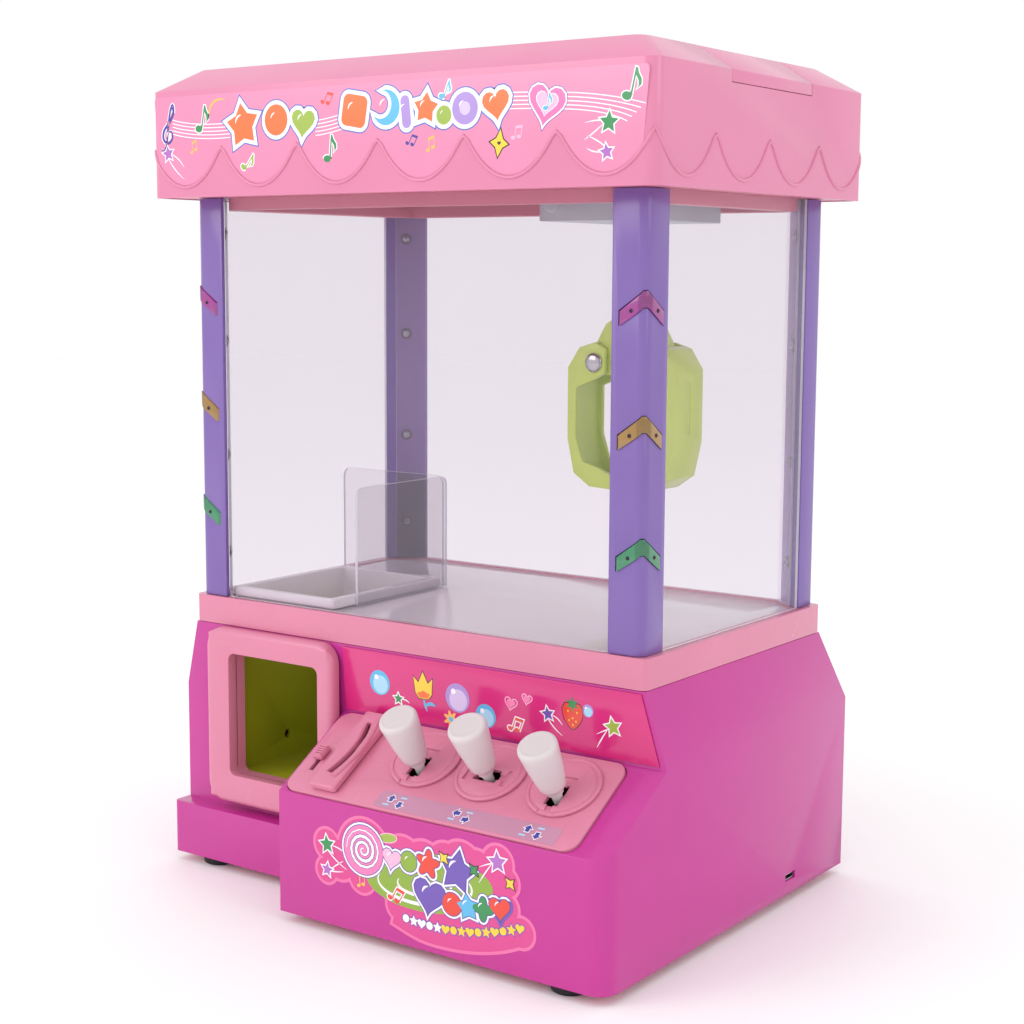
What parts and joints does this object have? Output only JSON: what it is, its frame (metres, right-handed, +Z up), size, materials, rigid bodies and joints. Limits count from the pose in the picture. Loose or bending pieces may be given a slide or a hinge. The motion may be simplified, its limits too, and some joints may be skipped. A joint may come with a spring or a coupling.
{
  "type": "claw crane machine",
  "caption": "Table-top toy claw crane: clear cabin under a scalloped canopy, a claw on a travelling trolley, tilting levers, a coin slot and a prize compartment with a chute.",
  "frame": {"origin": "middle of the bounding box's footprint, on the surface that the feet stand on", "axes": "+Z up along the longest side, -Y towards the player, +X to the player's right"},
  "size_m": [0.268, 0.2061, 0.37],
  "materials": {
    "light_pink": "moulded light pink plastic, semi-gloss",
    "magenta": "moulded magenta plastic, glossy",
    "hot_pink_print": "printed hot pink insert with bubbles, hearts and stars",
    "deep_pink": "inner pink parts, satin",
    "purple": "moulded purple plastic, semi-gloss",
    "lime": "moulded lime plastic, satin",
    "white": "white plastic, satin",
    "pale": "pale grey-white plastic, glossy",
    "grey": "grey plastic, satin",
    "rubber": "black rubber",
    "steel": "bright steel",
    "board": "green circuit board",
    "cord": "twisted white cord",
    "clear": "clear plastic sheet",
    "lens_magenta": "tinted clear lens",
    "lens_amber": "tinted clear lens",
    "lens_green": "tinted clear lens"
  },
  "bodies": {
    "cabinet": {"base_shell": "magenta", "battery_cover": "magenta", "bottom_plate": "deep_pink", "canopy_liner": "deep_pink", "coin_channel": "deep_pink", "foot_front_left": "rubber", "foot_front_right": "rubber", "foot_rear_left": "rubber", "foot_rear_right": "rubber", "speaker": "rubber", "deck_frame": "light_pink", "prize_bezel": "light_pink", "control_panel": "light_pink", "guide_disc_left": "light_pink", "guide_disc_middle": "light_pink", "guide_disc_right": "light_pink", "coin_slot_bezel": "light_pink", "canopy_shell": "light_pink", "play_floor": "pale", "prize_chute": "pale", "chute_fence_side": "clear", "chute_fence_rear": "clear", "window_front": "clear", "window_rear": "clear", "window_left": "clear", "window_right": "clear", "prize_box": "lime", "front_art_panel": "hot_pink_print", "pillar_front_left": "purple", "pillar_front_right": "purple", "pillar_rear_left": "purple", "pillar_rear_right": "purple", "lamp_left_upper": "lens_magenta", "lamp_left_middle": "lens_amber", "lamp_left_lower": "lens_green", "lamp_right_upper": "lens_magenta", "lamp_right_middle": "lens_amber", "lamp_right_lower": "lens_green", "usb_socket": "steel", "rail_left": "steel", "rail_right": "steel", "circuit_board": "board"},
    "roof_lid": {"roof_lid": "light_pink"},
    "lever_left": {"lever_stem_left": "white", "lever_grip_left": "white"},
    "lever_middle": {"lever_stem_middle": "white", "lever_grip_middle": "white"},
    "lever_right": {"lever_stem_right": "white", "lever_grip_right": "white"},
    "power_switch": {"power_switch": "light_pink"},
    "bridge": {"bridge_beam": "grey"},
    "trolley": {"trolley_housing": "grey", "winch_motor": "steel", "claw_cord": "cord"},
    "winch": {"winch_drum": "white"},
    "claw": {"claw_head": "lime", "claw_pin_left": "steel", "claw_pin_right": "steel"},
    "jaw_left": {"claw_jaw_left": "lime"},
    "jaw_right": {"claw_jaw_right": "lime"}
  },
  "joints": [
    {"name": "roof_lid_hinge", "type": "hinge", "parent": "cabinet", "child": "roof_lid", "pos_m": [0.0411, 0.015, 0.3689], "axis": [0, -1, 0], "range_deg": [0, 95]},
    {"name": "lever_left_tilt", "type": "hinge", "parent": "cabinet", "child": "lever_left", "pos_m": [0.026, -0.07583, 0.06423], "axis": [1, 0, 0], "range_deg": [-12, 12], "stiffness_Nm_per_rad": 0.05},
    {"name": "lever_middle_tilt", "type": "hinge", "parent": "cabinet", "child": "lever_middle", "pos_m": [0.06, -0.0737, 0.06554], "axis": [0, 0.8522, 0.5232], "range_deg": [-12, 12], "stiffness_Nm_per_rad": 0.05},
    {"name": "lever_right_tilt", "type": "hinge", "parent": "cabinet", "child": "lever_right", "pos_m": [0.0962, -0.07626, 0.06397], "axis": [1, 0, 0], "range_deg": [-12, 12], "stiffness_Nm_per_rad": 0.05},
    {"name": "power_switch_slide", "type": "slide", "parent": "cabinet", "child": "power_switch", "axis": [0, 0.8522, 0.5232], "range_m": [-0.0065, 0]},
    {"name": "bridge_travel", "type": "slide", "parent": "cabinet", "child": "bridge", "axis": [0, 1, 0], "range_m": [-0.044, 0.0175]},
    {"name": "trolley_travel", "type": "slide", "parent": "bridge", "child": "trolley", "axis": [1, 0, 0], "range_m": [-0.137, 0.0155]},
    {"name": "claw_lift", "type": "slide", "parent": "trolley", "child": "claw", "axis": [0, 0, 1], "range_m": [-0.052, 0.018], "deforming": ["claw_cord"]},
    {"name": "winch_spin", "type": "hinge", "parent": "trolley", "child": "winch", "pos_m": [0.061, 0.035, 0.3115], "axis": [1, 0, 0], "range_deg": [-176, 506]},
    {"name": "jaw_right_swing", "type": "hinge", "parent": "claw", "child": "jaw_right", "pos_m": [0.075, 0.0285, 0.2404], "axis": [0, -1, 0], "range_deg": [0, 22]},
    {"name": "jaw_left_swing", "type": "hinge", "parent": "claw", "child": "jaw_left", "pos_m": [0.047, 0.0285, 0.2404], "axis": [0, -1, 0], "range_deg": [-22, 0]}
  ],
  "couplings": [
    {"joint": "winch_spin", "follows": "claw_lift", "rad_per_m": -169.49},
    {"joint": "jaw_left_swing", "follows": "jaw_right_swing", "ratio": -1}
  ]
}
